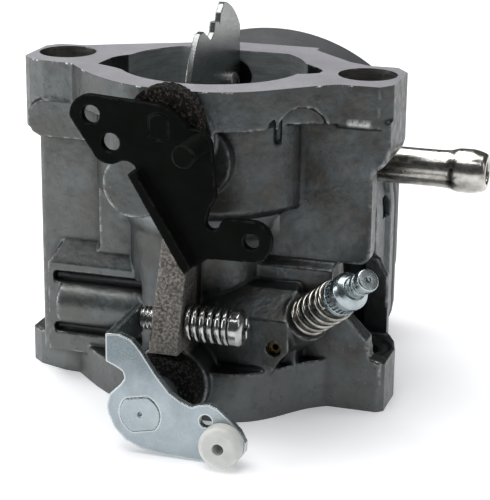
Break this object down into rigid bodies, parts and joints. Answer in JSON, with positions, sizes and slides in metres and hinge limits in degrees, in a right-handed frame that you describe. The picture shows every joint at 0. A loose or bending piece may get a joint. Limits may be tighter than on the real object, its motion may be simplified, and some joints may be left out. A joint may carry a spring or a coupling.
{
  "type": "float carburetor",
  "caption": "Small-engine float carburetor: cast body with two-ear flanges, choke and throttle levers, spring-loaded idle screws, fuel nozzle and side bowl.",
  "frame": {"origin": "centre of the throttle bore on the engine flange face", "axes": "+Z along the bore towards the air inlet, -Y towards the lever side, +Y towards the float bowl, +X towards the fuel inlet"},
  "size_m": [0.0796, 0.0854, 0.0673],
  "materials": {
    "cast_aluminium": "die cast, matt",
    "steel": "zinc plated",
    "brass_plate": "satin",
    "zinc_lever": "bluish zinc plate",
    "white_nylon": "satin",
    "foam_seal": "open cell foam",
    "satin_steel": "satin",
    "black_lever": "black, satin",
    "bright_steel": "bright plate",
    "zinc_screw": "zinc plated",
    "brass": "bright",
    "needle": "rubber tipped",
    "float_plastic": "matt",
    "gasket": "matt",
    "bowl_grey": "dark grey, satin"
  },
  "bodies": {
    "body": {"carburetor_body": "cast_aluminium", "throttle_shaft_seal": "foam_seal", "choke_shaft_seal": "foam_seal", "metering_orifice": "brass", "fuel_inlet_tube": "bright_steel", "needle_seat": "brass", "main_nozzle": "brass", "main_jet": "brass", "float_hinge_pin": "steel", "bowl_gasket": "gasket", "float_bowl": "bowl_grey", "bowl_bolt_washer": "gasket", "bowl_bolt": "steel"},
    "throttle": {"throttle_shaft": "steel", "throttle_plate": "brass_plate", "throttle_plate_screws": "steel", "throttle_lever": "zinc_lever", "throttle_lever_bushing": "white_nylon"},
    "choke": {"choke_shaft": "steel", "choke_plate": "satin_steel", "choke_plate_screws": "steel", "choke_lever": "black_lever", "choke_lever_stud": "black_lever"},
    "idle_screw_carriage": {"idle_speed_spring": "bright_steel"},
    "idle_screw": {"idle_speed_screw": "bright_steel"},
    "mixture_screw_carriage": {"idle_mixture_spring": "bright_steel"},
    "mixture_screw": {"idle_mixture_screw": "zinc_screw"},
    "float": {"bowl_float": "float_plastic"},
    "needle": {"inlet_needle": "needle"}
  },
  "joints": [
    {"name": "throttle_turn", "type": "hinge", "parent": "body", "child": "throttle", "pos_m": [0, 0, 0.0069], "axis": [0, -1, 0], "range_deg": [0, 75]},
    {"name": "choke_turn", "type": "hinge", "parent": "body", "child": "choke", "pos_m": [0, 0, 0.0522], "axis": [0, 1, 0], "range_deg": [0, 75]},
    {"name": "idle_screw_travel", "type": "slide", "parent": "body", "child": "idle_screw_carriage", "axis": [1, 0, 0], "range_m": [0, 0.0021], "deforming": ["idle_speed_spring"]},
    {"name": "idle_screw_turn", "type": "hinge", "parent": "idle_screw_carriage", "child": "idle_screw", "pos_m": [0.0107, -0.022, 0.0177], "axis": [1, 0, 0], "range_deg": [-1080.5, 0.5]},
    {"name": "mixture_screw_travel", "type": "slide", "parent": "body", "child": "mixture_screw_carriage", "axis": [0.6232, -0.5428, 0.5629], "range_m": [0, 0.0014], "deforming": ["idle_mixture_spring"]},
    {"name": "mixture_screw_turn", "type": "hinge", "parent": "mixture_screw_carriage", "child": "mixture_screw", "pos_m": [0.0189, -0.0116, 0.0159], "axis": [0.6232, -0.5428, 0.5629], "range_deg": [-720.5, 0.5]},
    {"name": "float_swing", "type": "hinge", "parent": "body", "child": "float", "pos_m": [0.021, 0.0208, 0.0284], "axis": [0, 0, -1], "range_deg": [0, 7]},
    {"name": "needle_slide", "type": "slide", "parent": "body", "child": "needle", "axis": [0, 1, 0], "range_m": [0, 0.00062]}
  ],
  "couplings": [
    {"joint": "idle_screw_turn", "follows": "idle_screw_travel", "rad_per_m": -8976},
    {"joint": "mixture_screw_turn", "follows": "mixture_screw_travel", "rad_per_m": -8976},
    {"joint": "needle_slide", "follows": "float_swing", "m_per_rad": 0.005}
  ]
}
